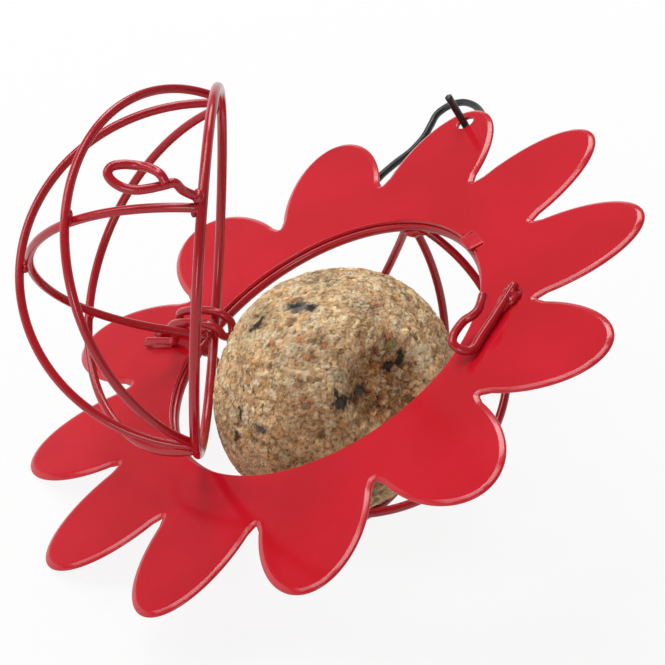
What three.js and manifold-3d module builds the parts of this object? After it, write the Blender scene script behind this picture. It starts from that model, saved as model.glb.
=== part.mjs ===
// Hanging suet feeder: a sheet-metal flower with a wire cage behind its round hole, a second wire
// cage hinged in front of it, and one suet ball. Millimetres. It lies as it does on a table, with the
// front cage swung open: on the tips of two petals and on the rear cage.
//
// The flower's own frame: z = 0 is the front face of the sheet and +z leaves it, +y points along the
// petal with the hanging hole, and +x points towards the catch.
import * as THREE from 'three';
import { mergeVertices } from 'three/addons/utils/BufferGeometryUtils.js';
import Module from 'manifold-3d';

const wasm = await Module();
wasm.setup();

// Driving sizes.
const seat = 0.3; // clearance between wires that are welded, or pieces that rest, on each other

const ball = {
  radius: 30.6,
  stretch: 1.7, // its longest half-axis is longer by this
  lumps: 0.5,
  hollowDepth: 4.2,
  hollowReach: 0.42, // how far the pecked hollow reaches round the ball, in radians
  settle: 0.6, // its lumps let it lie this much deeper than a smooth ball
};
const flower = {
  petals: 12,
  sheet: 1.2,
  ballRoomShare: 0.4346, // between the ball and the edge of the hole, of the ball's radius
  ring: 16.1, // between the hole and the valleys between petals
  shoulderStep: 1, // from a valley out to where the petal's long round tip begins
  petalLength: 26,
  petalDraw: 0.83, // a petal's half width is less than its sector by this
  hangingHoleRadius: 2.3,
  hangingHoleInset: 5.4,
};
const stopTab = {
  angle: 49,
  width: 7.6,
  depth: 3.6,
  height: 2.2,
  lean: 40,
};
const cage = {
  rimOverlap: 0.2, // the rim's centre line lies outside the edge of the hole
  flattening: 1.1, // the equator's wire is this much shallower than a half circle
  rimWire: 1.25, // wire radii
  ribWire: 1.1,
  ribSpread: 44.5, // angle between the middle rib and a side rib
  equatorPlace: -1.3, // along the line between the poles, from its middle
  frontTurn: 6.2, // the ribs' poles are turned this far from the hanging petal
  rearTurn: -3,
  shutGap: 1.5, // under the front rim when it is shut
};
const openAngle = 59.7; // of the front cage, from shut to the rest against the inner end of the staple
const staple = {
  wire: 1.1,
  place: 0.9, // of its middle, towards the hanging petal
  legSpacing: 4.4,
  legEnd: 16.4, // outside the rim's centre line, as is the rise
  rise: 4.3,
  inside: 13.1, // inside the rim's centre line
  height: 7.8,
};
const clip = {
  wire: 1.1,
  weld: 6.5, // outside the rim's centre line, as is the bulge
  bulge: 2.2,
  legTop: 17.6,
  legSlant: 0.8,
  bendPlace: -2.7, // of the bend's middle
  bulgePlace: 0.4,
  shoulderPlace: 5.6,
  shoulderStep: 2.5,
  endPlace: 11.2,
  endStep: 1.3,
  lift: 3.6,
};
const fingerLoop = {
  wire: 1.1,
  start: 1.6, // beside the equator's end
  reach: 6.2,
  length: 21,
  climb: 4.3,
};
const hook = {
  wire: 1,
  behind: 6.5,
  front: 9.5,
  bend: 7.6,
  play: 0.8, // between the wire and the lower edge of its hole
};

// Sizes that follow from those.
const holeRadius = ball.radius * (1 + flower.ballRoomShare);
const valleyRadius = holeRadius + flower.ring;
const shoulderRadius = valleyRadius + flower.shoulderStep;
const tipRadius = shoulderRadius + flower.petalLength;
const petalHalfWidth = valleyRadius * Math.sin(Math.PI / flower.petals) - flower.petalDraw;
const hangingHolePlace = tipRadius - flower.hangingHoleInset;
const rimRadius = holeRadius + cage.rimOverlap;
const cageDepth = rimRadius - cage.flattening; // from the rim's centre line to the equator's

const wireSides = 8;
const holeSides = 72;
const smallHoleSides = 20;
const ribSteps = 30;
const rimSteps = 60;

// Colours of the pieces.

const coatRed = new THREE.MeshStandardMaterial({ color: 0xc62a34, roughness: 0.28, metalness: 0.1 });
const coatBlack = new THREE.MeshStandardMaterial({ color: 0x1d1f1e, roughness: 0.4, metalness: 0.2 });
const suetTan = new THREE.MeshStandardMaterial({ color: 0xb59a72, roughness: 0.9, metalness: 0 });

// Solids and meshes.

const radians = THREE.MathUtils.degToRad;

function point(x, y, z) {
  return new THREE.Vector3(x, y, z);
}

function solidOf(geometry) {
  const bare = geometry.clone();
  bare.deleteAttribute('normal');
  bare.deleteAttribute('uv');
  const merged = mergeVertices(bare, seat / 1000);
  return new wasm.Manifold(new wasm.Mesh({
    numProp: 3,
    vertProperties: new Float32Array(merged.attributes.position.array),
    triVerts: new Uint32Array(merged.index.array),
  }));
}

function geometryOf(solid) {
  const mesh = solid.getMesh();
  const geometry = new THREE.BufferGeometry();
  geometry.setAttribute('position', new THREE.BufferAttribute(new Float32Array(mesh.vertProperties), 3));
  geometry.setIndex(new THREE.BufferAttribute(new Uint32Array(mesh.triVerts), 1));
  geometry.computeVertexNormals();
  return geometry;
}

function named(name, geometry, material) {
  const mesh = new THREE.Mesh(geometry, material);
  mesh.name = name;
  return mesh;
}

function circle(radius, sides, x = 0, y = 0) {
  const points = [];
  for (let side = 0; side < sides; side += 1) {
    const angle = (side / sides) * 2 * Math.PI;
    points.push(new THREE.Vector2(x + radius * Math.cos(angle), y + radius * Math.sin(angle)));
  }
  return points;
}

// A closed round wire of the given radius along a curve.
function wireAlong(curve, radius, steps) {
  const section = new THREE.Shape(circle(radius, wireSides));
  return new THREE.ExtrudeGeometry(section, { steps, bevelEnabled: false, extrudePath: curve });
}

function smoothWire(points, radius, steps) {
  return wireAlong(new THREE.CatmullRomCurve3(points, false, 'centripetal'), radius, steps);
}

// The flower.

function petalOutline() {
  const tipSteps = 14;
  const halfStep = Math.PI / flower.petals;
  const points = [];
  for (let petal = 0; petal < flower.petals; petal += 1) {
    const heading = Math.PI / 2 - petal * 2 * halfStep;
    const along = new THREE.Vector2(Math.cos(heading), Math.sin(heading));
    const across = new THREE.Vector2(along.y, -along.x);
    const valley = heading + halfStep;
    points.push(new THREE.Vector2(Math.cos(valley), Math.sin(valley)).multiplyScalar(valleyRadius));
    for (let step = 0; step <= tipSteps; step += 1) {
      const angle = (step / tipSteps - 1 / 2) * Math.PI;
      const out = shoulderRadius + (tipRadius - shoulderRadius) * Math.cos(angle);
      const side = petalHalfWidth * Math.sin(angle);
      points.push(along.clone().multiplyScalar(out).addScaledVector(across, side));
    }
  }
  return points;
}

function flowerPlate() {
  const shape = new THREE.Shape(petalOutline());
  shape.holes.push(new THREE.Path(circle(holeRadius, holeSides)));
  shape.holes.push(new THREE.Path(circle(flower.hangingHoleRadius, smallHoleSides, 0, hangingHolePlace)));
  const sheet = new THREE.ExtrudeGeometry(shape, { depth: flower.sheet, bevelEnabled: false });
  sheet.translate(0, 0, -flower.sheet);

  // The stop tab is cut free at the hole's edge and bent forward.
  const bendRadius = holeRadius + stopTab.depth;
  const notch = new THREE.BoxGeometry(2 * stopTab.depth, stopTab.width, 3 * flower.sheet);
  notch.translate(bendRadius - stopTab.depth, 0, -flower.sheet / 2);
  const tabLength = stopTab.height + flower.sheet;
  const tab = new THREE.BoxGeometry(flower.sheet, stopTab.width, tabLength);
  tab.translate(flower.sheet / 2, 0, tabLength / 2);
  tab.rotateY(-radians(stopTab.lean));
  tab.translate(bendRadius, 0, -flower.sheet);
  for (const piece of [notch, tab]) piece.rotateZ(radians(stopTab.angle));
  return geometryOf(solidOf(sheet).subtract(solidOf(notch)).add(solidOf(tab)));
}

// A half-round cage, with its rim's centre line at z = 0 and its ribs towards +z

class HalfEllipse extends THREE.Curve {
  constructor(centre, first, second) {
    super();
    Object.assign(this, { centre, first, second });
  }

  getPoint(share, target = new THREE.Vector3()) {
    const angle = share * Math.PI;
    return target.copy(this.centre).addScaledVector(this.first, Math.cos(angle))
      .addScaledVector(this.second, Math.sin(angle));
  }
}

function rimGeometry() {
  return new THREE.TorusGeometry(rimRadius, cage.rimWire, wireSides, rimSteps);
}

// A wire that ends on the rim is cut to the rim's round, with the seat's clearance.
function cutToRim(geometry) {
  const keepOut = new THREE.TorusGeometry(rimRadius, cage.rimWire + seat, wireSides, rimSteps);
  const pieces = solidOf(geometry).subtract(solidOf(keepOut)).decompose();
  pieces.sort((one, other) => other.volume() - one.volume());
  return geometryOf(pieces[0]);
}

// The middle of each rib lies against the outside of the equator, and the three ribs meet the rim
// side by side at the two poles.
function ribGeometry(side) {
  const spread = radians(side * cage.ribSpread);
  const pitch = 2 * cage.ribWire + seat;
  const equator = 1 / Math.hypot(Math.sin(spread) / rimRadius, Math.cos(spread) / cageDepth);
  const reach = equator + pitch;
  const offset = side * pitch;
  const rise = Math.sqrt(reach ** 2 - (offset * Math.cos(spread)) ** 2) - offset * Math.sin(spread);
  const lean = point(Math.sin(spread), 0, Math.cos(spread));
  const curve = new HalfEllipse(point(offset, 0, 0), point(0, rimRadius, 0), lean.multiplyScalar(rise));
  return cutToRim(wireAlong(curve, cage.ribWire, ribSteps));
}

function equatorGeometry() {
  const centre = point(0, cage.equatorPlace, 0);
  const halfChord = Math.sqrt(rimRadius ** 2 - cage.equatorPlace ** 2);
  const curve = new HalfEllipse(centre, point(halfChord, 0, 0), point(0, 0, cageDepth));
  return cutToRim(wireAlong(curve, cage.ribWire, ribSteps));
}

function halfCage(prefix) {
  const group = new THREE.Group();
  group.add(named(`${prefix}_rim`, rimGeometry(), coatRed));
  group.add(named(`${prefix}_rib_left`, ribGeometry(-1), coatRed));
  group.add(named(`${prefix}_rib_middle`, ribGeometry(0), coatRed));
  group.add(named(`${prefix}_rib_right`, ribGeometry(1), coatRed));
  group.add(named(`${prefix}_equator`, equatorGeometry(), coatRed));
  return group;
}

// The finger loop leaves the rim opposite the hinge, climbs outward and closes into a long eye, whose
// end lies over the stem.
function fingerLoopGeometry() {
  const loop = fingerLoop;
  const start = rimRadius + (cage.rimWire + seat) * Math.SQRT1_2;
  const out = rimRadius + loop.reach;
  const over = out + 2 * loop.wire + seat;
  // Shares of the loop's length, across and along: the stem's crest, then round the eye.
  const stemShares = [[0.09, 0.29], [0.062, 0.386], [0.014, 0.543], [-0.014, 0.705], [0.01, 0.838]];
  const eyeShares = [[0.086, 0.957], [0.162, 1], [0.233, 0.967], [0.267, 0.857], [0.262, 0.667]];
  const endShares = [[0.21, 0.535], [0.125, 0.43]];
  const points = [
    point(start, loop.start, (cage.rimWire + seat) * Math.SQRT1_2),
    point((start + out) / 2, loop.start, loop.climb),
  ];
  for (const [across, along] of [...stemShares, ...eyeShares]) {
    points.push(point(out, across * loop.length, along * loop.length));
  }
  const [[nearAcross, nearAlong], [endAcross, endAlong]] = endShares;
  points.push(point((out + over) / 2, nearAcross * loop.length, nearAlong * loop.length));
  points.push(point(over, endAcross * loop.length, endAlong * loop.length));
  return cutToRim(smoothWire(points, loop.wire, 48));
}

// Wire fittings on the flower's front face

// Two legs welded along the petal rise over the front rim and turn down inside the hole, where a
// bend joins them, so that the rim turns and slides under the arch.
function stapleGeometry() {
  const flat = staple.wire + seat;
  const corner = 2 * staple.wire;
  const half = staple.legSpacing / 2;
  const legEnd = rimRadius + staple.legEnd;
  const rise = rimRadius + staple.rise;
  const innerEnd = rimRadius - staple.inside;
  const profile = [
    [-legEnd, flat],
    [-rise - 2 * corner, flat],
    [-rise - corner, flat],
    [-rise, flat + corner],
    [-rise, staple.height - corner],
    [-rise + corner, staple.height],
    [-innerEnd - corner, staple.height],
    [-innerEnd, staple.height - corner],
    [-innerEnd, flat + half],
  ];
  const near = profile.map(([x, z]) => point(x, staple.place - half, z));
  const far = profile.map(([x, z]) => point(x, staple.place + half, z)).reverse();
  const bend = point(-innerEnd, staple.place, flat);
  return smoothWire([...near, bend, ...far], staple.wire, 64);
}

// A spring-wire hairpin welded by one leg; its free leg bulges towards the front rim.
function clipGeometry() {
  const low = clip.wire + seat;
  const high = low + clip.lift;
  const weld = rimRadius + clip.weld;
  const bulge = rimRadius + clip.bulge;
  const middle = (weld + bulge) / 2;
  const round = (weld - bulge) / 2;
  const points = [
    point(weld + clip.legSlant, clip.legTop, low),
    point(weld + clip.legSlant / 2, (clip.legTop + clip.bendPlace) / 2, low),
    point(weld, 0, low),
  ];
  const bendSteps = 4;
  for (let step = 0; step <= bendSteps; step += 1) {
    const share = step / bendSteps;
    const angle = share * Math.PI;
    const height = low + clip.lift * (1 - Math.cos(angle)) / 2;
    points.push(point(middle + round * Math.cos(angle), clip.bendPlace - round * Math.sin(angle), height));
  }
  points.push(point(bulge, clip.bulgePlace, high));
  points.push(point(bulge + clip.shoulderStep / 2, (clip.bulgePlace + clip.shoulderPlace) / 2, high));
  points.push(point(bulge + clip.shoulderStep, clip.shoulderPlace, high));
  points.push(point(bulge + clip.endStep, clip.endPlace, high));
  return smoothWire(points, clip.wire, 56);
}

// The hanging hook: an S bent from one wire, put through the hole in the top petal

function hookGeometry() {
  const behind = -flower.sheet - hook.behind;
  const place = hangingHolePlace - flower.hangingHoleRadius + hook.wire + hook.play;
  const bend = hook.bend;
  // Shares of the bend's radius, from where the wire passes through the hanging hole.
  const risingShares = [[-0.17, 0.38], [-0.34, 1.17], [-0.9, 1.86], [-1.47, 2.25], [-2.05, 2.42]];
  const fallingShares = [[-2.57, 2.28], [-2.88, 1.87], [-2.84, 1.24], [-2.79, 0.58], [-2.97, -0.16]];
  const lowerShares = [[-3.37, -0.8], [-3.68, -1.53], [-3.63, -2.25], [-3.03, -2.64], [-2.34, -2.41],
    [-2.03, -1.72]];
  const points = [
    point(0, place, hook.front),
    point(0, place, hook.wire),
    point(0, place, -flower.sheet - hook.wire),
    point(-hook.wire / 2, place + hook.wire, behind / 2 - hook.wire),
  ];
  for (const [across, up] of [...risingShares, ...fallingShares, ...lowerShares]) {
    points.push(point(across * bend, place + up * bend, behind));
  }
  return smoothWire(points, hook.wire, 72);
}

// The suet ball, pressed from seed and fat, with a pecked hollow

function ballGeometry() {
  const geometry = new THREE.SphereGeometry(ball.radius, 32, 20);
  const places = geometry.attributes.position;
  const way = new THREE.Vector3();
  const longAxisShares = point(0.525, 0.837, 0.154);
  const hollowShares = point(0.55, -0.35, 0.76).normalize();
  const lumpShares = [[3, 5, 2, 0.5], [-6, 2, 5, 0.3], [4, -7, 9, 0.2]];
  for (let index = 0; index < places.count; index += 1) {
    way.fromBufferAttribute(places, index).normalize();
    let swell = 0;
    for (const [x, y, z, share] of lumpShares) {
      swell += share * Math.sin(x * way.x + y * way.y + z * way.z);
    }
    const dip = Math.exp(-((way.angleTo(hollowShares) / ball.hollowReach) ** 2));
    const stretch = ball.stretch * way.dot(longAxisShares) ** 2;
    const radius = ball.radius + stretch + ball.lumps * (swell - 1) - ball.hollowDepth * dip;
    places.setXYZ(index, way.x * radius, way.y * radius, way.z * radius);
  }
  return geometryOf(solidOf(geometry));
}

// Assembly in the flower's frame

const inFlower = new THREE.Group();
inFlower.add(named('flower_plate', flowerPlate(), coatRed));
inFlower.add(named('hinge_staple', stapleGeometry(), coatRed));
inFlower.add(named('catch_clip', clipGeometry(), coatRed));
inFlower.add(named('hanging_hook', hookGeometry(), coatBlack));

const rearCage = halfCage('rear');
rearCage.rotation.set(0, Math.PI, -radians(cage.rearTurn));
rearCage.position.z = -flower.sheet - seat - cage.rimWire;
inFlower.add(rearCage);

// The loose rim swings about an axis past its hinge end, given in shares of the rim's radius.
const hingePlaceShares = point(-0.64, -0.458, 0.205);
const hingeAxisShares = point(0.557, -0.819, -0.137);

// Shut, the front cage lies on the flower; at rest it has swung open about the loose hinge.
const frontShut = halfCage('front');
frontShut.add(named('finger_loop', fingerLoopGeometry(), coatRed));
frontShut.rotation.z = radians(cage.frontTurn);
frontShut.position.z = cage.shutGap + cage.rimWire;
const pivot = hingePlaceShares.multiplyScalar(rimRadius);
const swing = new THREE.Group();
const frontCage = new THREE.Group();
swing.position.copy(pivot).negate();
swing.add(frontShut);
frontCage.add(swing);
frontCage.position.copy(pivot);
frontCage.quaternion.setFromAxisAngle(hingeAxisShares.normalize(), radians(openAngle));
inFlower.add(frontCage);

const suetBall = named('suet_ball', ballGeometry(), suetTan);
// The ball rests in the rear cage, on the side that is lowest as the feeder lies.
const seatShares = point(-0.16, -0.27, -0.95).normalize();
suetBall.position.copy(rearCage.position);
suetBall.position.addScaledVector(seatShares, cageDepth - cage.ribWire - ball.radius + ball.settle);
inFlower.add(suetBall);

// How it lies: level with the tips of the two lowest petals and with the rear cage

// Height of the flower's middle over a floor that the petal tips, or the rear ribs, touch, when the
// flower leans back by the angle tilt away from lying flat, downhill between two petals.
function tipHeight(tilt) {
  const halfStep = Math.PI / flower.petals;
  const tipLength = tipRadius - shoulderRadius;
  const reach = shoulderRadius * Math.cos(halfStep)
    + Math.hypot(tipLength * Math.cos(halfStep), petalHalfWidth * Math.sin(halfStep));
  return reach * Math.sin(tilt) + flower.sheet * Math.cos(tilt);
}

function ribHeight(tilt) {
  const down = point(Math.sin(tilt) * Math.SQRT1_2, Math.sin(tilt) * Math.SQRT1_2, Math.cos(tilt));
  const deep = cageDepth + 2 * cage.ribWire + seat;
  let lowest = 0;
  for (const side of [-1, 0, 1]) {
    const spread = radians(side * cage.ribSpread);
    const outward = deep * (Math.sin(spread) * down.x + Math.cos(spread) * down.z);
    lowest = Math.max(lowest, Math.hypot(rimRadius * down.y, outward));
  }
  return lowest + cage.ribWire + (flower.sheet + seat + cage.rimWire) * down.z;
}

function restingTilt() {
  const halvings = 40;
  let flat = 0;
  let steep = Math.PI / 2;
  for (let round = 0; round < halvings; round += 1) {
    const tilt = (flat + steep) / 2;
    if (tipHeight(tilt) < ribHeight(tilt)) flat = tilt;
    else steep = tilt;
  }
  return (flat + steep) / 2;
}

const downhill = new THREE.Group();
downhill.rotation.z = -Math.PI / 4;
downhill.add(inFlower);
const leaning = new THREE.Group();
leaning.rotation.y = -restingTilt();
leaning.add(downhill);
const feeder = new THREE.Group();
feeder.add(leaning);
feeder.updateMatrixWorld(true);
const box = new THREE.Box3().setFromObject(feeder, true);
const middle = box.getCenter(new THREE.Vector3());
leaning.position.set(-middle.x, -middle.y, -box.min.z);
feeder.updateMatrixWorld(true);

export default feeder;
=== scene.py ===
# %% [markdown]
# # A flower-shaped feeder for suet balls
# The feeder is a sheet-metal flower with a wire cage behind its round hole and a second wire cage
# hinged in front. The solids of the part are loaded first and stay where they are, as a fixed frame.
# Each piece below is then modelled around them with the same sizes, so every joint still works.

# %% Load the fixed frame
import bpy
import numpy as np
from mathutils import Matrix, Vector
from mathutils.geometry import tessellate_polygon


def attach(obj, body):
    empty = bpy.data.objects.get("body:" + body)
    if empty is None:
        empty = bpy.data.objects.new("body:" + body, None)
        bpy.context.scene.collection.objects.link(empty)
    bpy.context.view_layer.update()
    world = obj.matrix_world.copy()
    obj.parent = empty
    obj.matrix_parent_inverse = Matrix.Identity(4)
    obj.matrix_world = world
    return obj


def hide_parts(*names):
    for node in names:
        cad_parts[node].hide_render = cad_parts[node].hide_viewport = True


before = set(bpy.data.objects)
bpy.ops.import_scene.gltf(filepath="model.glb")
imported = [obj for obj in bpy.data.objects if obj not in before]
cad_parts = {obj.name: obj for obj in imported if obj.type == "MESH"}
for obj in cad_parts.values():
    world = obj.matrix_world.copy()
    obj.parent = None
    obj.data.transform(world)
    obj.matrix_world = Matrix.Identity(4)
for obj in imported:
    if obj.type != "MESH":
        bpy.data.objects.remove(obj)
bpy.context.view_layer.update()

# %% [markdown]
# ## The sizes, in millimetres
# The whole feeder is drawn in the flower's own frame: z = 0 is the front face of the sheet, +y points
# along the petal with the hanging hole, and +x points towards the catch. The sizes are the ones that
# the solids were made with, except for the stop tab and its notch, which follow the photograph more
# closely here. Each is named once, so that one change carries through.

# %% Sizes of the feeder
MM = 0.001
PETALS = 12
SHEET = 1.2
BALL_RADIUS, ROOM_ROUND_BALL = 30.6, 0.4346
HOLE = BALL_RADIUS * (1 + ROOM_ROUND_BALL)
COLLAR, SHOULDER_STEP, PETAL_LENGTH, PETAL_GAP = 16.1, 1, 27, 0.83
VALLEY = HOLE + COLLAR
SHOULDER, TIP = VALLEY + SHOULDER_STEP, VALLEY + PETAL_LENGTH
PETAL_HALF_WIDTH = VALLEY * np.sin(np.pi / PETALS) - PETAL_GAP
HANGING_HOLE, HANGING_MARGIN = 2.3, 5.4
HANGING_PLACE = TIP - HANGING_MARGIN
RIM_OVERLAP, CAGE_FLATNESS = 0.2, 1.1
RIM = HOLE + RIM_OVERLAP
CAGE_DEPTH = RIM - CAGE_FLATNESS
RIM_WIRE, RIB_WIRE, HOOK_WIRE = 1.25, 1.1, 1.0
SEAT, SHUT_GAP = 0.3, 1.5
ON_SHEET = RIB_WIRE + SEAT
RIB_SPREAD = 44.5
EQUATOR_PLACE = -1.3
FRONT_TWIST, REAR_TWIST = 6.2, 3
TAB_ANGLE, TAB_WIDTH, TAB_DEPTH, TAB_RISE, TAB_LENGTH = 51.5, 6.4, 3.0, 9, 3.9
NOTCH_WIDTH, NOTCH_BEND = 7.6, 0.45
OPEN_ANGLE = 59.7
REST_TILT, REST_HEADING = 32.4953, 45
print("petal half width", round(PETAL_HALF_WIDTH, 2), "mm")

# %% [markdown]
# ## How it lies
# The feeder lies on two petal tips and on its rear cage. A few turns and shifts carry points from a
# cage's frame to the flower's frame, and from there to where the flower lies on the table. They are
# applied to the points themselves, so each finished object stays at the origin, unturned.


# %% Turns and places
def turn(axis, degrees):
    """Turning about an axis k by an angle a: the identity, plus sin a times the matrix K that makes a
    cross product with k, plus (1 - cos a) times K squared."""
    k = np.asarray(axis, float) / np.linalg.norm(axis)
    cross = np.array([[0, -k[2], k[1]], [k[2], 0, -k[0]], [-k[1], k[0], 0]])
    a = np.radians(degrees)
    return np.eye(3) + np.sin(a) * cross + (1 - np.cos(a)) * cross @ cross


LIE = turn((0, 1, 0), -REST_TILT) @ turn((0, 0, 1), -REST_HEADING)
LIE_ORIGIN = np.array((1.8709, -0.0999, 46.2744))
HINGE_SHARES, HINGE_AXIS = np.array((-0.64, -0.458, 0.205)), (0.557, -0.819, -0.137)
HINGE_PLACE = RIM * HINGE_SHARES
SWING_OPEN = turn(HINGE_AXIS, OPEN_ANGLE)


def in_flower(points):
    """The flower's own frame."""
    return points


def in_front_cage(points):
    """Twisted a little, set before the flower's face, then swung open about the hinge."""
    shut = points @ turn((0, 0, 1), FRONT_TWIST).T + (0, 0, SHUT_GAP + RIM_WIRE)
    return HINGE_PLACE + (shut - HINGE_PLACE) @ SWING_OPEN.T


def in_rear_cage(points):
    """Twisted a little, then turned over so that the cage bulges behind the flower."""
    over = turn((0, 1, 0), 180) @ turn((0, 0, 1), REAR_TWIST)
    return points @ over.T - (0, 0, SHEET + SEAT + RIM_WIRE)


def as_it_lies(points):
    """From the flower's frame in millimetres to the table in metres."""
    return (points @ LIE.T + LIE_ORIGIN) * MM


print("the flower's middle lies at", as_it_lies(np.zeros((1, 3))).round(4))

# %% [markdown]
# ## The camera
# The photograph was taken with a long lens from the front, left of the hinge and above. The camera
# could be placed by eye, but the twelve valleys between the petals are known points, so it stands
# where they fall on those of the photograph.

# %% Camera
SENSOR, LENS = 36.0, 128.95
NEAR, FAR = 0.05, 30
VIEW_RIGHT = np.array((0.74484438, 0.46578375, -0.47775763))
VIEW_DOWN = np.array((0.00290767, -0.71828162, -0.6957464))
VIEW_AHEAD = np.array((-0.66723189, 0.51683363, -0.53636237))
CAMERA_PLACE = np.array((397.592, -303.421, 318.512))


def show(name, data):
    """Puts the data, such as a camera, a lamp or a mesh, into the scene as an object."""
    made = bpy.data.objects.new(name, data)
    bpy.context.scene.collection.objects.link(made)
    return made


camera_data = bpy.data.cameras.new("photo_camera")
camera_data.sensor_width, camera_data.lens = SENSOR, LENS
camera = show("photo_camera", camera_data)
camera_axes = LIE @ np.stack([VIEW_RIGHT, -VIEW_DOWN, -VIEW_AHEAD], 1)
placed = Matrix(camera_axes.tolist()).to_4x4()
placed.translation = Vector(as_it_lies(CAMERA_PLACE))
camera.matrix_world = placed
camera_data.clip_start, camera_data.clip_end = NEAR, FAR
bpy.context.scene.camera = camera
bpy.context.scene.view_settings.view_transform = "Standard"
print("camera at", [round(v, 3) for v in camera.location])

# %% [markdown]
# ## Colour and nodes
# Colours are written as the hex values of a screen, which are brighter than the light they stand for,
# so one function turns them into linear light. Nodes could be placed by hand in Blender's editor, but
# one small function that adds a node with its settings and links keeps each finish short to read.


# %% Colour and node helpers
def linear(hex_colour):
    """sRGB to linear light: a share c goes to c / 12.92 below 0.04045, else ((c + 0.055) / 1.055)
    to the power 2.4."""
    c = np.array([int(hex_colour[i:i + 2], 16) for i in (1, 3, 5)]) / 255
    return tuple(np.where(c <= 0.04045, c / 12.92, ((c + 0.055) / 1.055) ** 2.4)) + (1.0,)


def feed(tree, node, **inputs):
    """Sets a node's inputs to values, or links them to the sockets given. A name is an input's own
    with its spaces written as _, or _ and the input's number."""
    for name, value in inputs.items():
        key = int(name[1:]) if name[0] == "_" else name.replace("_", " ")
        if isinstance(value, bpy.types.NodeSocket):
            tree.links.new(value, node.inputs[key])
        else:
            node.inputs[key].default_value = value


def add(tree, kind, settings=None, **inputs):
    """Adds a node of that kind, sets its properties from the settings and feeds its inputs."""
    node = tree.nodes.new(kind)
    for name, value in (settings or {}).items():
        setattr(node, name, value)
    feed(tree, node, **inputs)
    return node


def finish_of(name, build):
    """A new material whose nodes are made by build(tree, shader)."""
    material = bpy.data.materials.new(name)
    material.use_nodes = True
    tree = material.node_tree
    build(tree, tree.nodes["Principled BSDF"])
    return material


print("a poppy red in linear light", [round(v, 3) for v in linear("#C8303A")])

# %% [markdown]
# ## Gloss red powder coat
# The flower and its wires are steel under a polyester powder coat: a dry powder is sprayed on and
# baked, and flows to a glassy skin about 0.1 mm thick. It never levels fully, which leaves the gentle
# waves called orange peel, 2 to 4 mm from crest to crest, and a finer grain, which is drawn at half a
# millimetre, as coarse as it needs to show. An image could carry such marks, but noises that read the
# place on the piece need no unwrapping. Two of them make the relief; the finer one also varies the
# gloss, and a third, broad one the colour. The wires get a copy of the coat in a deeper red, which is
# painted shade: thin wires catch less light than the flat sheet.

# %% Red powder coat
PEEL_WAVE, GRAIN_WAVE, TONE_WAVE = 3.0 * MM, 0.5 * MM, 30 * MM
PEEL_HEIGHT, GRAIN_HEIGHT = 0.05 * MM, 0.01 * MM


def red_coat(tree, shader, deep="#C41020", bright="#D01428"):
    """A broad noise mixes the two reds; the peel's noise raises the surface, and the grain's noise
    lies on top of it and sets the roughness in proportion."""
    place = add(tree, "ShaderNodeTexCoord").outputs["Object"]
    tone = add(tree, "ShaderNodeTexNoise", Vector=place, Scale=1 / TONE_WAVE, Detail=2.0)
    waves = add(tree, "ShaderNodeTexNoise", Vector=place, Scale=1 / PEEL_WAVE, Detail=1.0)
    grain = add(tree, "ShaderNodeTexNoise", Vector=place, Scale=1 / GRAIN_WAVE, Detail=2.0)
    colour = add(tree, "ShaderNodeValToRGB", Fac=tone.outputs["Fac"])
    low, high = colour.color_ramp.elements
    low.position, low.color = 0.35, linear(deep)
    high.position, high.color = 0.68, linear(bright)
    gloss = add(tree, "ShaderNodeMapRange", Value=grain.outputs["Fac"], To_Min=0.13, To_Max=0.22)
    peel = add(tree, "ShaderNodeBump", Strength=0.35, Distance=PEEL_HEIGHT, Height=waves.outputs["Fac"])
    fine = add(tree, "ShaderNodeBump", Strength=0.25, Distance=GRAIN_HEIGHT, Height=grain.outputs["Fac"],
               Normal=peel.outputs["Normal"])
    feed(tree, shader, Base_Color=colour.outputs["Color"], Roughness=gloss.outputs["Result"],
         Normal=fine.outputs["Normal"], IOR=1.5, Specular_IOR_Level=0.5)


def red_coat_shaded_for_wire(tree, shader):
    """The same coat in a deeper red: painted shade, as thin wires catch less light than the sheet."""
    red_coat(tree, shader, "#AA0D1B", "#B81122")


COAT_RED = finish_of("polyester_powder_coat_gloss_red", red_coat)
# the wires' copy of the coat is darkened as painted shade
COAT_RED_WIRE_SHADED = finish_of("polyester_powder_coat_gloss_red_shaded_for_wire", red_coat_shaded_for_wire)
print("made", COAT_RED.name, "and", COAT_RED_WIRE_SHADED.name)

# %% [markdown]
# ## Satin black coat of the hook
# The hook is a thin wire with a black coat that is a little duller than the red one. A coat that rubs
# turns greyer. Worn spots could be painted by hand, but on so thin a wire a noise that lightens it in
# patches a few millimetres long is enough.

# %% Black coat
RUB_WAVE, BLACK_GRAIN_HEIGHT = 4 * MM, 0.03 * MM


def black_coat(tree, shader):
    """A noise mixes black and the rubbed grey, and a finer one raises the grain."""
    place = add(tree, "ShaderNodeTexCoord").outputs["Object"]
    rub = add(tree, "ShaderNodeTexNoise", Vector=place, Scale=1 / RUB_WAVE, Detail=3.0)
    grain = add(tree, "ShaderNodeTexNoise", Vector=place, Scale=1 / GRAIN_WAVE, Detail=2.0)
    colour = add(tree, "ShaderNodeValToRGB", Fac=rub.outputs["Fac"])
    low, high = colour.color_ramp.elements
    low.position, low.color = 0.45, linear("#17191A")
    high.position, high.color = 0.75, linear("#35393A")
    fine = add(tree, "ShaderNodeBump", Strength=0.4, Distance=BLACK_GRAIN_HEIGHT,
               Height=grain.outputs["Fac"])
    feed(tree, shader, Base_Color=colour.outputs["Color"], Roughness=0.34,
         Normal=fine.outputs["Normal"])


COAT_BLACK = finish_of("satin_black_powder_coat", black_coat)
print("made", COAT_BLACK.name)
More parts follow.
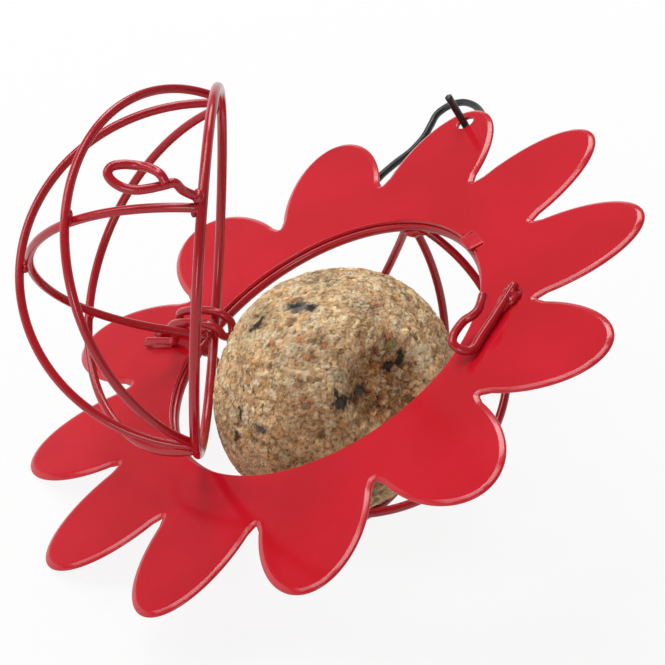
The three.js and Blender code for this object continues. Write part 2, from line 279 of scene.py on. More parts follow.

# %% [markdown]
# ## Pressed suet and seed
# The ball is rendered fat pressed with millet, cracked grain and bits of sunflower hull. A noise could
# colour it all, but then the colours wouldn't follow the grains that stand out of it. So each vertex
# carries the colour of the grain that it lies on, worked out below with the shape and darkened there
# as painted shade in creases, gaps, pits, the pecked hollow and on the side that the sheet keeps the
# light from. The finish adds what is finer than the mesh: crumbs of less than a millimetre, pores
# darkened as painted shade, and a thin film of fat, which is paler and has a dull shine.

# %% Suet and seed
CRUMB, FILM_PATCH, DUST_SIZE, PORE = 0.7 * MM, 2.2 * MM, 0.45 * MM, 1.1 * MM
CRUMB_HEIGHT, DUST_HEIGHT = 0.4 * MM, 0.2 * MM


def suet_and_seed(tree, shader):
    """Colour = the grain's own, mixed with the film's by film x alpha, then times the crumb's
    brightness and the pores' painted shade. Crumbs and dust raise the surface, and dust sets the
    roughness."""
    place = add(tree, "ShaderNodeTexCoord").outputs["Object"]
    grain = add(tree, "ShaderNodeAttribute", {"attribute_name": "grain_colour"})
    crumbs = add(tree, "ShaderNodeTexVoronoi", Vector=place, Scale=1 / CRUMB)
    crumb_tone = add(tree, "ShaderNodeSeparateColor", Color=crumbs.outputs["Color"])
    patches = add(tree, "ShaderNodeTexNoise", Vector=place, Scale=1 / FILM_PATCH, Detail=5.0,
                  Roughness=0.7)
    dust = add(tree, "ShaderNodeTexNoise", Vector=place, Scale=1 / DUST_SIZE, Detail=3.0)
    pores = add(tree, "ShaderNodeTexNoise", Vector=place, Scale=1 / PORE, Detail=4.0, Roughness=0.65)
    light = add(tree, "ShaderNodeMapRange", Value=crumb_tone.outputs["Red"], To_Min=0.84, To_Max=1.2)
    # pores darkened to about a third: painted shade in the small holes of the pressed mix
    hole = add(tree, "ShaderNodeMapRange", Value=pores.outputs["Fac"], From_Min=0.34, From_Max=0.44,
               To_Min=0.35)
    speckle_and_pore_shade = add(tree, "ShaderNodeMath", {"operation": "MULTIPLY"}, _0=light.outputs["Result"],
                  _1=hole.outputs["Result"])
    film = add(tree, "ShaderNodeMapRange", Value=patches.outputs["Fac"], From_Min=0.42, From_Max=0.7,
               To_Max=0.45)
    veil = add(tree, "ShaderNodeMath", {"operation": "MULTIPLY"}, _0=film.outputs["Result"],
               _1=grain.outputs["Alpha"])
    filmed = add(tree, "ShaderNodeMix", {"data_type": "RGBA"}, _0=veil.outputs["Value"],
                 _6=grain.outputs["Color"], _7=linear("#E5C497"))
    speckled = add(tree, "ShaderNodeMix", {"data_type": "RGBA", "blend_type": "MULTIPLY"}, _0=1.0,
                   _6=filmed.outputs[2], _7=speckle_and_pore_shade.outputs["Value"])
    dull = add(tree, "ShaderNodeMapRange", Value=dust.outputs["Fac"], To_Min=0.55, To_Max=0.85)
    lumps = add(tree, "ShaderNodeBump", {"invert": True}, Strength=0.5, Distance=CRUMB_HEIGHT,
                Height=crumbs.outputs["Distance"])
    rough = add(tree, "ShaderNodeBump", Strength=0.7, Distance=DUST_HEIGHT, Height=dust.outputs["Fac"],
                Normal=lumps.outputs["Normal"])
    feed(tree, shader, Base_Color=speckled.outputs[2], Roughness=dull.outputs["Result"],
         Normal=rough.outputs["Normal"], Specular_IOR_Level=0.35)


SUET = finish_of("pressed_suet_and_seed", suet_and_seed)
print("made", SUET.name)

# %% [markdown]
# ## Skins from grids
# Blender can draw sheets and wires from curves, but a grid worked out with numpy keeps every point in
# hand. Nearly every new piece is a skin stretched over such a grid: rows along the piece, columns
# round it. One function joins neighbours into four-sided faces, and closes the two ends with flat
# faces, joins them to each other or leaves them open.


# %% Skin over a grid
def skin(grid, ring=False, capped=True):
    """Faces over a rows x columns grid: each one joins (i, j), (i, j + 1), (i + 1, j + 1) and
    (i + 1, j). With ring the last row meets the first one again."""
    rows, columns = grid.shape[:2]
    number = np.arange(rows * columns).reshape(rows, columns)
    low = number if ring else number[:-1]
    high = np.roll(number, -1, 0)[:len(low)]
    quads = np.stack([low, np.roll(low, -1, 1), np.roll(high, -1, 1), high], -1)
    faces = quads.reshape(-1, 4).tolist()
    if capped and not ring:
        faces += [number[0, ::-1].tolist(), number[-1].tolist()]
    return grid.reshape(-1, 3), faces


def join(*skins):
    """Several skins as one mesh: the points are stacked and the faces' numbers shifted."""
    points, faces, first = [], [], 0
    for some_points, some_faces in skins:
        points.append(some_points)
        faces += [[first + corner for corner in face] for face in some_faces]
        first += len(some_points)
    return np.vstack(points), faces


def piece(name, shape, material, body, slot, place=in_flower, stands_for=()):
    """Puts a skin, carried to where it lies, into a smooth-shaded object that rides on its body."""
    points, faces = shape
    mesh = bpy.data.meshes.new(name)
    mesh.from_pydata(as_it_lies(place(points)), [], faces)
    mesh.shade_smooth()
    mesh.materials.append(material)
    made = show(name, mesh)
    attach(made, body)
    if stands_for:
        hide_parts(*stands_for)
    print(name, len(points), "points", len(faces), "faces")
    return made


# %% [markdown]
# ## The flower
# The flower is punched from 1.2 mm sheet in one stroke and coated afterwards. A punched edge is
# drawn down a little over the last millimetre or two, which is called the roll-over, and the coat
# rounds it further. That soft edge catches the light as a pale line round each petal. A Bevel modifier
# would round both faces alike, so the edge is instead a small profile carried round the outline, and
# the flat middle is filled between the profiles' last lines.


# %% Outlines of the flower
def unit(vectors):
    """Each vector divided by its own length."""
    return vectors / np.linalg.norm(vectors, axis=-1, keepdims=True)


def full_turn(steps):
    """That many angles from 0, each one equal step of a full turn after the last."""
    return np.linspace(0, 2 * np.pi, steps, endpoint=False)


def on_circle(radius, angles):
    """The points (radius cos a, radius sin a) for the angles a."""
    return radius * np.stack([np.cos(angles), np.sin(angles)], -1)


def turned_flat(line, degrees):
    """A line of x and y turned about the origin, anticlockwise."""
    return line @ turn((0, 0, 1), degrees)[:2, :2].T


def petal_lines(tip_points=56, notch_points=11, notch_round=0.35):
    """One petal in its own frame, x outwards: an arc round the valley before it, a short straight
    shoulder, and half an ellipse x = shoulder + length cos a, y = half width sin a."""
    half = np.pi / PETALS
    valley = VALLEY * np.array((np.cos(half), -np.sin(half)))
    shoulder = np.array((SHOULDER, -PETAL_HALF_WIDTH))
    outward = unit(valley)
    slope = unit(shoulder - valley)
    opening = np.arccos(outward @ slope)
    centre = valley + outward * notch_round / np.sin(opening)
    across = np.array((-outward[1], outward[0]))
    swing = np.linspace(-1, 1, notch_points)[:, None] * (np.pi / 2 - opening)
    arc = centre + notch_round * (across * np.sin(swing) - outward * np.cos(swing))
    share = np.linspace(0, 1, 5)[1:, None]
    straight = arc[-1] + share * (shoulder - arc[-1])
    angle = np.linspace(-np.pi / 2, np.pi / 2, tip_points)[1:-1]
    tip = np.stack([SHOULDER + (TIP - SHOULDER) * np.cos(angle), PETAL_HALF_WIDTH * np.sin(angle)], 1)
    back = straight[::-1] * (1, -1)
    return np.vstack([arc, straight, tip, back])


def outline():
    """The petal turned to each of the twelve headings, one after another, anticlockwise."""
    headings = 90 + np.arange(PETALS) * 360 / PETALS
    return np.vstack([turned_flat(petal_lines(), heading) for heading in headings])


def hanging_hole_line(points=48):
    """A circle, clockwise, because the metal lies outside it."""
    return on_circle(HANGING_HOLE, -full_turn(points)) + (0, HANGING_PLACE)


def hole_line():
    """The hole's circle, with the notch that the stop tab was bent from: a rounded oblong cut
    outwards into the sheet."""
    half, reach, bend = NOTCH_WIDTH / 2, HOLE + TAB_DEPTH, NOTCH_BEND
    mouth = np.arcsin((half + bend) / (HOLE + bend))
    start, end = np.radians(TAB_ANGLE) - mouth, np.radians(TAB_ANGLE) + mouth - 2 * np.pi
    circle = on_circle(HOLE, np.linspace(start, end, 200))
    share = np.linspace(0, 1, 8)
    into = np.pi + mouth + share * (np.pi / 2 - mouth)
    mouth_arc = on_circle(bend, into) + ((HOLE + bend) * np.cos(mouth), half + bend)
    corner = on_circle(bend, (1 - share) * np.pi / 2) + (reach - bend, half - bend)
    upper = np.vstack([mouth_arc, corner])
    lower = upper[::-1] * (1, -1)
    return np.vstack([circle[1:-1], turned_flat(np.vstack([upper, lower]), TAB_ANGLE)])


def outward_normals(line):
    """Unit vectors to the right of the way along a closed line, averaged over its two edges."""
    edge = unit(np.roll(line, -1, 0) - line)
    along = unit(edge + np.roll(edge, 1, 0))
    return np.stack([along[:, 1], -along[:, 0]], 1)


print("outline points", len(outline()), "hole points", len(hole_line()))

# %% Edge profiles and the flat fill
ROLLED = [(2.2, 0), (1.65, 0), (1.4, -0.02), (1.2, -0.07), (0.9, -0.19), (0.6, -0.33), (0.35, -0.46),
          (0.17, -0.57), (0.05, -0.68), (0, -0.79)]
PLAIN = [(0.9, 0), (0.55, 0), (0.35, -0.01), (0.2, -0.06), (0.08, -0.16), (0.01, -0.32)]
BACK = [(0, -0.9), (0.03, -1.0), (0.1, -1.09), (0.2, -1.16), (0.33, -1.2), (0.6, -1.2), (0.9, -1.2)]


def edge_band(line, front):
    """Carries the profile, pairs of distance inside the edge and height, round the line:
    point = line - distance x outward normal, at its height."""
    profile = np.array(front + BACK)
    moved = line[None] - profile[:, :1, None] * outward_normals(line)[None]
    heights = np.broadcast_to(profile[:, 1:, None], moved.shape[:2] + (1,))
    return np.concatenate([moved, heights], -1)


def flower_sheet():
    """Bands round the outline, the hole and the hanging hole, with two flat fills between them."""
    bands = [edge_band(outline(), ROLLED)[:, ::-1], edge_band(hole_line(), PLAIN)[:, ::-1],
             edge_band(hanging_hole_line(), PLAIN)[:, ::-1]]
    parts = [skin(band, capped=False) for band in bands]
    points, faces = join(*parts)
    ends = np.cumsum([len(part[0]) for part in parts])
    grids = [np.arange(end - len(part[0]), end).reshape(band.shape[:2])
             for end, part, band in zip(ends, parts, bands)]
    for row, flip in ((0, False), (-1, True)):
        number = np.concatenate([grid[row] for grid in grids])
        fill = tessellate_polygon([[Vector(p) for p in band[row]] for band in bands])
        corners = number[np.array(fill)]
        a, b, c = (points[corners[:, k]] for k in range(3))
        up = np.cross(b - a, c - a)[:, 2] > 0
        corners[up == flip] = corners[up == flip][:, ::-1]
        faces += corners.tolist()
    return points, faces


piece("flower_sheet", flower_sheet(), COAT_RED, "flower", "red_coat", stands_for=("flower_plate",))

# %% [markdown]
# ## Wires
# The cages, the small fittings and the hook are all bent from round wire. A curve with a round bevel
# would draw it, but carrying a small circle along a line with numpy also rounds the cut ends. On a
# smooth curve the circle needs two directions across the wire; they come from one fixed direction
# that the wire never points along.

# %% Wire along a path
CAP_SHARE = 0.6


def smooth_path(points, steps=10):
    """A centripetal Catmull-Rom curve through the points: each span is a cubic whose end slopes come
    from its neighbours, with the knots spaced by the square roots of the distances."""
    p = np.asarray(points, float)
    p = np.vstack([2 * p[0] - p[1], p, 2 * p[-1] - p[-2]])
    a, b, c, d = p[:-3], p[1:-2], p[2:-1], p[3:]
    k0, k1, k2 = (np.linalg.norm(v, axis=1)[:, None] ** 0.5 for v in (b - a, c - b, d - c))
    leave = k1 * ((b - a) / k0 - (c - a) / (k0 + k1) + (c - b) / k1)
    arrive = k1 * ((c - b) / k1 - (d - b) / (k1 + k2) + (d - c) / k2)
    t = np.linspace(0, 1, steps, endpoint=False)[None, :, None]
    b, c, leave, arrive = (v[:, None] for v in (b, c, leave, arrive))
    curve = (b + leave * t + (3 * (c - b) - 2 * leave - arrive) * t ** 2
             + (2 * (b - c) + leave + arrive) * t ** 3)
    return np.vstack([curve.reshape(-1, 3), p[-2]])


def wire(path, radius, across, sides=20, closed=False):
    """A circle of the wire's radius round each point of the path, in the plane square to it; at a
    free end the radius follows a quarter of an ellipse down to a small flat."""
    if closed:
        along = unit(np.roll(path, -1, 0) - np.roll(path, 1, 0))
    else:
        along = unit(np.gradient(path, axis=0))
    thick = np.full(len(path), float(radius))
    if not closed:
        cap = np.linspace(0.12, 1, 6)[:-1] * np.pi / 2
        out, width = CAP_SHARE * radius * (1 - np.sin(cap)), np.sin(cap)
        lead = path[:1] - out[:, None] * along[:1]
        tail = path[-1:] + out[::-1, None] * along[-1:]
        path = np.vstack([lead, path, tail])
        along = np.pad(along, ((len(cap),) * 2, (0, 0)), "edge")
        thick = np.concatenate([radius * width, thick, radius * width[::-1]])
    side = unit(np.cross(along, across))
    up = np.cross(side, along)
    angle = full_turn(sides)[None, :, None]
    grid = path[:, None] + thick[:, None, None] * (side[:, None] * np.cos(angle)
                                                   + up[:, None] * np.sin(angle))
    return skin(grid[:, ::-1], ring=closed)


print("a smooth path through 4 points has", len(smooth_path(np.eye(4, 3))), "points")

# %% [markdown]
# ## Weld beads
# Where wires cross they are pressed together and spot-welded; a little metal squeezes out, and the
# coat smooths it over. Beads could be sculpted one by one, but a ball drawn out along the wire, with a
# few soft lumps from a fixed seed, makes each one different and the same on every run.


# %% Weld bead
def bead(centre, along, length, width, lumps=0.12, seed=0, rows=14, columns=20):
    """An ellipsoid about the centre, long side along the wire, whose radius is scaled by
    1 + lumps x a sum of three sines of the direction."""
    chance = np.random.default_rng(seed)
    along = unit(np.asarray(along, float))
    side = unit(np.cross(along, (0.31, 0.74, 0.59)))
    up = np.cross(side, along)
    tall, around = np.meshgrid(np.linspace(0.08, np.pi - 0.08, rows), full_turn(columns), indexing="ij")
    ways = np.stack([np.cos(tall), np.sin(tall) * np.cos(around), np.sin(tall) * np.sin(around)], -1)
    swell = 1 + lumps * sum(np.sin(ways @ chance.normal(0, 3.2, 3) + chance.uniform(0, 6.3))
                            for _ in range(3)) / 1.5
    shape = ways * (length, width, width) * swell[..., None]
    return skin(centre + shape @ np.stack([along, side, up]))


print("a bead has", len(bead((0, 0, 0), (1, 0, 0), 1, 1)[0]), "points")

# %% [markdown]
# ## The two wire cages
# Each cage is a ring with three ribs from pole to pole and one wire round its middle. The ribs are
# half ellipses that spread like the segments of an orange, and each crosses the equator wire on its
# outside. One is fixed behind the flower, the other is loose. Mirroring one cage would turn its faces
# inside out, so one function makes both, and the rear one is turned over.


# %% Lines of a cage
def half_ellipse(centre, first, second, steps=90):
    """centre + first cos a + second sin a, for a from 0 to 180 degrees."""
    a = np.linspace(0, np.pi, steps)[:, None]
    return centre + np.cos(a) * first + np.sin(a) * second


def rim_line(steps=180):
    """The circle along the middle of the rim's wire, at height 0."""
    return np.pad(on_circle(RIM, full_turn(steps)), ((0, 0), (0, 1)))


def rib_line(side):
    """The half ellipse of a rib whose middle lies one wire's thickness outside the equator."""
    spread, pitch = np.radians(side * RIB_SPREAD), 2 * RIB_WIRE + SEAT
    reach = 1 / np.hypot(np.sin(spread) / RIM, np.cos(spread) / CAGE_DEPTH) + pitch
    offset = side * pitch
    rise = np.sqrt(reach ** 2 - (offset * np.cos(spread)) ** 2) - offset * np.sin(spread)
    lean = np.array((np.sin(spread), 0, np.cos(spread)))
    return half_ellipse((offset, 0, 0), (0, RIM, 0), lean * rise)


def equator_line():
    """Half an ellipse over the rim's chord at the equator's place, as high as the cage is deep."""
    chord = np.sqrt(RIM ** 2 - EQUATOR_PLACE ** 2)
    return half_ellipse((0, EQUATOR_PLACE, 0), (chord, 0, 0), (0, 0, CAGE_DEPTH))


def nearest_pair(one, other):
    """The midpoint of the two closest points of two lines, and the way along the first there."""
    apart = np.linalg.norm(one[:, None] - other[None], axis=-1)
    i, j = np.unravel_index(apart.argmin(), apart.shape)
    return (one[i] + other[j]) / 2, one[min(i + 1, len(one) - 1)] - one[max(i - 1, 0)]


print("rib reach", rib_line(0)[:, 2].max().round(2), rib_line(1)[:, 0].max().round(2))

# %% Both cages
SIDES = {"left": -1, "middle": 0, "right": 1}
POLE_BEAD, END_BEAD, CROSSING_BEAD = (4.3, 1.35, 0.16), (2.1, 1.45, 0.2), (1.9, 1.12, 0.14)
POLE_SINK, POLE_LIFT, END_SINK, END_LIFT = 0.5, 1.1, 0.4, 1.15
WELD_SEEDS = {"front": 11, "rear": 41}


def cage_welds(seed):
    """Beads at both ends of the ribs and of the equator, and where each rib crosses the equator."""
    beads, equator = [], equator_line()
    for pole in (-1, 1):
        beads.append(bead((0, pole * (RIM - POLE_SINK), POLE_LIFT), (1, 0, 0), *POLE_BEAD, seed + pole))
        end = (pole * (RIM - END_SINK), EQUATOR_PLACE, END_LIFT)
        beads.append(bead(end, (0, 1, 0), *END_BEAD, seed + 3 + pole))
    for side in SIDES.values():
        middle, along = nearest_pair(rib_line(side), equator)
        beads.append(bead(middle, along, *CROSSING_BEAD, seed + 7 + side))
    return join(*beads)


def make_cage(which, body, place):
    """A rim, three ribs, an equator wire and the beads between them. The rear rim is pressed against
    the sheet that it is welded to, so it lies closer by the gap."""
    # the wires take the red coat darkened as painted shade
    red = dict(material=COAT_RED_WIRE_SHADED, body=body, slot="red_coat", place=place)
    down = SEAT if which == "rear" else 0
    piece(f"{which}_rim_wire", wire(rim_line() - (0, 0, down), RIM_WIRE, (0, 0, 1), closed=True), **red,
          stands_for=(f"{which}_rim",))
    for name, side in SIDES.items():
        spread = np.radians(side * RIB_SPREAD)
        flat = np.cross((0, 1, 0), (np.sin(spread), 0, np.cos(spread)))
        piece(f"{which}_rib_wire_{name}", wire(rib_line(side), RIB_WIRE, flat), **red,
              stands_for=(f"{which}_rib_{name}",))
    piece(f"{which}_equator_wire", wire(equator_line(), RIB_WIRE, (0, 1, 0)), **red,
          stands_for=(f"{which}_equator",))
    piece(f"{which}_cage_welds", cage_welds(WELD_SEEDS[which]), **red)


make_cage("front", "front_cage", in_front_cage)
make_cage("rear", "flower", in_rear_cage)

# %% [markdown]
# ## Finger loop, staple and clip
# Three small bends of the same wire do the work. The finger loop on the loose rim is pulled to open
# the cage. The staple is an arch over the rim that lets it turn and slide. The clip is a hairpin whose
# free leg springs over the rim and holds it shut. Such bends have no simple formula, so each one is a
# smooth curve through a few chosen points.

# %% Finger loop
LOOP_REACH, LOOP_LENGTH = 6.2, 21.0
STEM_SHARES = [(0.09, 0.29), (0.062, 0.386), (0.014, 0.543), (-0.014, 0.705), (0.01, 0.838)]
EYE_SHARES = [(0.086, 0.957), (0.162, 1), (0.233, 0.967), (0.267, 0.857), (0.262, 0.667)]
LAST_SHARES = [(0.21, 0.535), (0.125, 0.43), (0.045, 0.372)]
LOOP_ROOT, LOOP_RISE, ROOT_SINK, TIP_SINK = (1.0, 0.9), (1.3, 4.3), 0.6, 0.5
ROOT_PLACE, ROOT_BEAD, ROOT_SEED = 0.9, (2.0, 1.4, 0.15), 71


def finger_loop():
    """A smooth curve out from the rim, up, and round a long eye whose end lies over its own stem;
    the stem and the eye are drawn as shares of the length."""
    start, out = RIM + (RIM_WIRE + SEAT) / np.sqrt(2), RIM + LOOP_REACH
    over = out + 2 * RIB_WIRE + SEAT
    points = [(start - ROOT_SINK, *LOOP_ROOT), ((start + out) / 2, *LOOP_RISE)]
    places = [out] * len(STEM_SHARES + EYE_SHARES) + [(out + over) / 2, over, over - TIP_SINK]
    points += [(place, across * LOOP_LENGTH, along * LOOP_LENGTH)
               for place, (across, along) in zip(places, STEM_SHARES + EYE_SHARES + LAST_SHARES)]
    end = bead((RIM + ROOT_PLACE, *LOOP_ROOT), (0, 1, 0), *ROOT_BEAD, ROOT_SEED)
    return join(wire(smooth_path(points, 14), RIB_WIRE, (1, 0.05, -0.1)), end)


piece("finger_loop_wire", finger_loop(), COAT_RED_WIRE_SHADED, "front_cage", "red_coat", in_front_cage,
      ("finger_loop",))

# %% Hinge staple
STAPLE_HEIGHT, STAPLE_CORNER, STAPLE_MIDDLE, STAPLE_HALF = 7.8, 2.2, 0.9, 2.2
LEG_REACH, ARCH_OUTSIDE, ARCH_INSIDE = 16.4, 4.3, 13.1
LEG_BEAD, BEAD_FROM_END, BEAD_LIFT, BEAD_LEAN, LEG_SEED = (4.6, 1.75, 0.2), 3.4, 0.5, 0.08, 80


def hinge_staple():
    """Two legs lie on the petal, rise over the rim and turn down inside the hole, where a bend joins
    them; two drawn-out beads weld the legs to the sheet."""
    flat, corner, height = ON_SHEET, STAPLE_CORNER, STAPLE_HEIGHT
    leg_end, rise, inner = RIM + LEG_REACH, RIM + ARCH_OUTSIDE, RIM - ARCH_INSIDE
    profile = [(-leg_end, flat), (-rise - 2 * corner, flat), (-rise - corner, flat),
               (-rise, flat + corner), (-rise, height - corner), (-rise + corner, height),
               (-inner - corner, height), (-inner, height - corner), (-inner, flat + STAPLE_HALF)]
    near = [(x, STAPLE_MIDDLE - STAPLE_HALF, z) for x, z in profile]
    far = [(x, STAPLE_MIDDLE + STAPLE_HALF, z) for x, z in profile[::-1]]
    path = smooth_path([*near, (-inner, STAPLE_MIDDLE, flat), *far], 12)
    welds = [bead((-leg_end + BEAD_FROM_END, STAPLE_MIDDLE + side * STAPLE_HALF, BEAD_LIFT),
                  (1, side * BEAD_LEAN, 0), *LEG_BEAD, LEG_SEED + side) for side in (-1, 1)]
    return join(wire(path, RIB_WIRE, (0.42, 0.55, 0.72)), *welds)


piece("hinge_staple_wire", hinge_staple(), COAT_RED_WIRE_SHADED, "flower", "red_coat", in_flower,
      ("hinge_staple",))

# %% Catch clip
WELDED_LINE, FREE_LINE, CLIP_RISE, BEND_PLACE = 6.5, 2.2, 3.6, -2.7
WELDED_LEG = [(0.8, 18.2), (0.4, 7.45), (0, 0)]
FREE_LEG = [(-0.1, 0.9), (0.5, 2.9), (1.8, 4.3), (2.5, 6.2), (1.3, 11.2)]
CLIP_BEADS = [(0.3, 13.0, 2.9, 2.2, 91), (1.3, 14.8, 2.6, 1.7, 92), (0.4, 15.9, 2.6, 1.9, 93)]
CLIP_BEAD_LIFT, CLIP_LUMPS = 0.3, 0.2


def catch_clip():
    """A hairpin: one leg is welded along the sheet; past a half-round bend that also rises, the other
    leg bulges towards the rim and ends in a small outward bend. Each leg's points are distances out
    from its own line and along it."""
    low, high = ON_SHEET, ON_SHEET + CLIP_RISE
    weld, free = RIM + WELDED_LINE, RIM + FREE_LINE
    angle = np.linspace(0, np.pi, 5)
    hairpin = np.stack([(weld + free) / 2 + (weld - free) / 2 * np.cos(angle),
                        BEND_PLACE - (weld - free) / 2 * np.sin(angle),
                        low + (high - low) * (1 - np.cos(angle)) / 2], 1)
    points = [(weld + out, along, low) for out, along in WELDED_LEG]
    points += [*hairpin, *((free + out, along, high) for out, along in FREE_LEG)]
    welds = [bead((weld + out, along, CLIP_BEAD_LIFT), (0.1, 1, 0.05), length, width, CLIP_LUMPS, seed)
             for out, along, length, width, seed in CLIP_BEADS]
    return join(wire(smooth_path(points, 14), RIB_WIRE, (0.9, 0.1, -0.45)), *welds)


piece("catch_clip_wire", catch_clip(), COAT_RED_WIRE_SHADED, "flower", "red_coat", in_flower, ("catch_clip",))

# %% [markdown]
# ## The stop tab
# A narrow tongue at the edge of the hole is cut free on three sides and bent forward a little, as a
# stop for the cage's rim. The sheet's own faces could be bent for it, but its edges are rounded all
# about, so it is simpler as a flat oblong section carried round a bend and up, out of the notch.

# %% Stop tab
TAB_START, TAB_BEND, TAB_ROOT, TAB_HALF_THICKNESS, TIP_LENGTH = 0.5, 3.0, 1.5, 0.55, 0.35


def stop_tab():
    """An oblong section with round corners (half width x |cos a|^0.2, half thickness x |sin a|^0.4),
    carried in from the sheet, round a bend and up a gentle slope over the edge of the hole, where it
    narrows to a rounded tip."""
    start, rise = HOLE + TAB_DEPTH + TAB_START, np.radians(TAB_RISE)
    turned = np.linspace(0, rise, 8)[:, None]
    arc = np.hstack([start - TAB_BEND * np.sin(turned), TAB_BEND * (1 - np.cos(turned)) - SHEET / 2])
    way = np.array((-np.cos(rise), np.sin(rise)))
    straight = arc[-1] + np.linspace(0, TAB_LENGTH, 8)[1:, None] * way
    path = np.vstack([[(start + TAB_ROOT, -SHEET / 2)], arc, straight])
    along = unit(np.gradient(path, axis=0))
    normal = np.stack([-along[:, 1], along[:, 0]], 1)
    angle = full_turn(48)
    wide = (TAB_WIDTH / 2) * np.sign(np.cos(angle)) * np.abs(np.cos(angle)) ** 0.2
    thick = TAB_HALF_THICKNESS * np.sign(np.sin(angle)) * np.abs(np.sin(angle)) ** 0.4
    x = path[:, :1] - normal[:, :1] * thick
    z = path[:, 1:] - normal[:, 1:] * thick
    y = np.broadcast_to(wide, x.shape)
    last = np.stack([x[-1], y[-1], z[-1]], -1)
    middle, onward = last.mean(0), TIP_LENGTH * np.array((way[0], 0, way[1]))
    tip = [middle + (last - middle) * (1 - 0.4 * s ** 2) + s * onward for s in (0.4, 0.75, 1)]
    grid = np.concatenate([np.stack([x, y, z], -1), tip])
    return skin(grid @ turn((0, 0, 1), TAB_ANGLE).T)


piece("stop_tab", stop_tab(), COAT_RED, "flower", "red_coat", in_flower, ("flower_plate",))

# %% [markdown]
# ## The hanging hook
# One black wire is bent to an S. Its short end passes through the hanging hole, and the large bend
# behind the petal goes over a branch. It is drawn through chosen points, like the other small bends.

# %% Hook
HOOK_BEND, HOOK_BEHIND, HOOK_AHEAD, HOOK_PLAY = 7.6, 6.5, 9.5, 0.8
RISING_SHARES = [(-0.17, 0.38), (-0.34, 1.17), (-0.9, 1.86), (-1.47, 2.25), (-2.05, 2.42)]
FALLING_SHARES = [(-2.57, 2.28), (-2.88, 1.87), (-2.84, 1.24), (-2.79, 0.58), (-2.97, -0.16)]
LOWER_SHARES = [(-3.37, -0.8), (-3.68, -1.53), (-3.63, -2.25), (-3.03, -2.64), (-2.34, -2.41),
                (-2.03, -1.72)]


def hanging_hook():
    """A smooth curve through the hanging hole, then two bends drawn as shares of one radius."""
    behind = -SHEET - HOOK_BEHIND
    place = HANGING_PLACE - HANGING_HOLE + HOOK_WIRE + HOOK_PLAY
    points = [(0, place, HOOK_AHEAD), (0, place, HOOK_WIRE), (0, place, -SHEET - HOOK_WIRE),
              (-HOOK_WIRE / 2, place + HOOK_WIRE, behind / 2 - HOOK_WIRE)]
    points += [(across * HOOK_BEND, place + up * HOOK_BEND, behind)
               for across, up in RISING_SHARES + FALLING_SHARES + LOWER_SHARES]
    return wire(smooth_path(points, 12), HOOK_WIRE, (0.8, 0.25, 0.55))


piece("hook_wire", hanging_hook(), COAT_BLACK, "hook", "black_coat", in_flower, ("hanging_hook",))

# %% [markdown]
# ## The suet ball
# The mix is a crowd of grains, and pressing cuts through it. Thousands of loose grains could be strewn
# over a ball, but they would be heavy and never lie as flush as pressed ones. So space is divided into
# cells with one grain in each, and every point of the ball asks which grain of which kind it is
# nearest to. That gives both the small relief and the colour: crumbs everywhere, round millet standing
# proud, flat black hulls, and a few red and green bits. The pecked hollow is rougher, as the pressed
# skin is gone there.


# %% Grains in space
def grains(points, spacing, seed, stretch=1.0):
    """For each point: the distance to the nearest grain, in units of the spacing, how much further
    the second one is, and six fixed random numbers of the nearest grain. Each cell of a cubic lattice
    holds one grain at a random place; stretch draws a grain out along a random direction."""
    table = np.random.default_rng(seed).random((8192, 6))
    scaled = points / spacing
    cell = np.floor(scaled).astype(np.int64)
    nearest = np.full(len(points), 9.0)
    second = nearest.copy()
    chosen = np.zeros(len(points), np.int64)
    for step in np.ndindex(3, 3, 3):
        here = cell + np.array(step) - 1
        key = (here @ np.array((73856093, 19349663, 83492791))) % len(table)
        offset = scaled - here - 0.12 - 0.76 * table[key, :3]
        way = unit(table[key, 3:] - 0.5)
        inline = (offset * way).sum(1)
        apart = np.sqrt(np.maximum((offset ** 2).sum(1) - inline ** 2 * (1 - 1 / stretch ** 2), 0))
        closer = apart < nearest
        second = np.where(closer, nearest, np.minimum(second, apart))
        nearest = np.where(closer, apart, nearest)
        chosen = np.where(closer, key, chosen)
    return nearest, second - nearest, table[chosen]


def ripple(points, wave, seed, waves=14):
    """A smooth random field of about unit size: sines of about that wavelength along random ways."""
    chance = np.random.default_rng(seed)
    ways = unit(chance.normal(size=(waves, 3))) * 2 * np.pi / wave * chance.uniform(0.7, 1.4, (waves, 1))
    return np.sin(points @ ways.T + chance.uniform(0, 6.3, waves)).sum(1) / np.sqrt(waves / 2)


def cube_ball(cells):
    """Directions over six square faces of a cube, with equal angles between the lines, and faces
    joined where they meet."""
    line = np.tan(np.linspace(-np.pi / 4, np.pi / 4, cells + 1))
    u, v = np.meshgrid(line, line, indexing="ij")
    one = np.ones_like(u)
    six = [(one, u, v), (-one, v, u), (v, one, u), (u, -one, v), (u, v, one), (v, u, -one)]
    grid = unit(np.stack([np.stack(side, -1) for side in six]))
    number = np.arange(grid[..., 0].size).reshape(grid.shape[:3])
    quads = np.stack([number[:, :-1, :-1], number[:, 1:, :-1], number[:, 1:, 1:], number[:, :-1, 1:]],
                     -1).reshape(-1, 4)
    keys = np.round(grid.reshape(-1, 3) * 1e5).astype(np.int64)
    _, first, back = np.unique(keys, axis=0, return_index=True, return_inverse=True)
    return grid.reshape(-1, 3)[first], back.reshape(-1)[quads]


ways, ball_faces = cube_ball(124)
print("ball", len(ways), "points", len(ball_faces), "faces")

# %% The ball's shape and the colour of its grains
LONG_AXIS, STRETCH, LUMPS = np.array((0.525, 0.837, 0.154)), 1.7, 0.5
HOLLOW, HOLLOW_REACH, HOLLOW_DEPTH = unit(np.array((0.93, -0.2, 0.3))), 0.39, 5.2
CRUST_CELL, MILLET_CELL, HULL_CELL, PIT_CELL, TORN_CELL = 1.8, 3.4, 9.5, 4.5, 2.6
HULL_STRETCH, HIGHEST_GRAIN = 1.9, 0.3
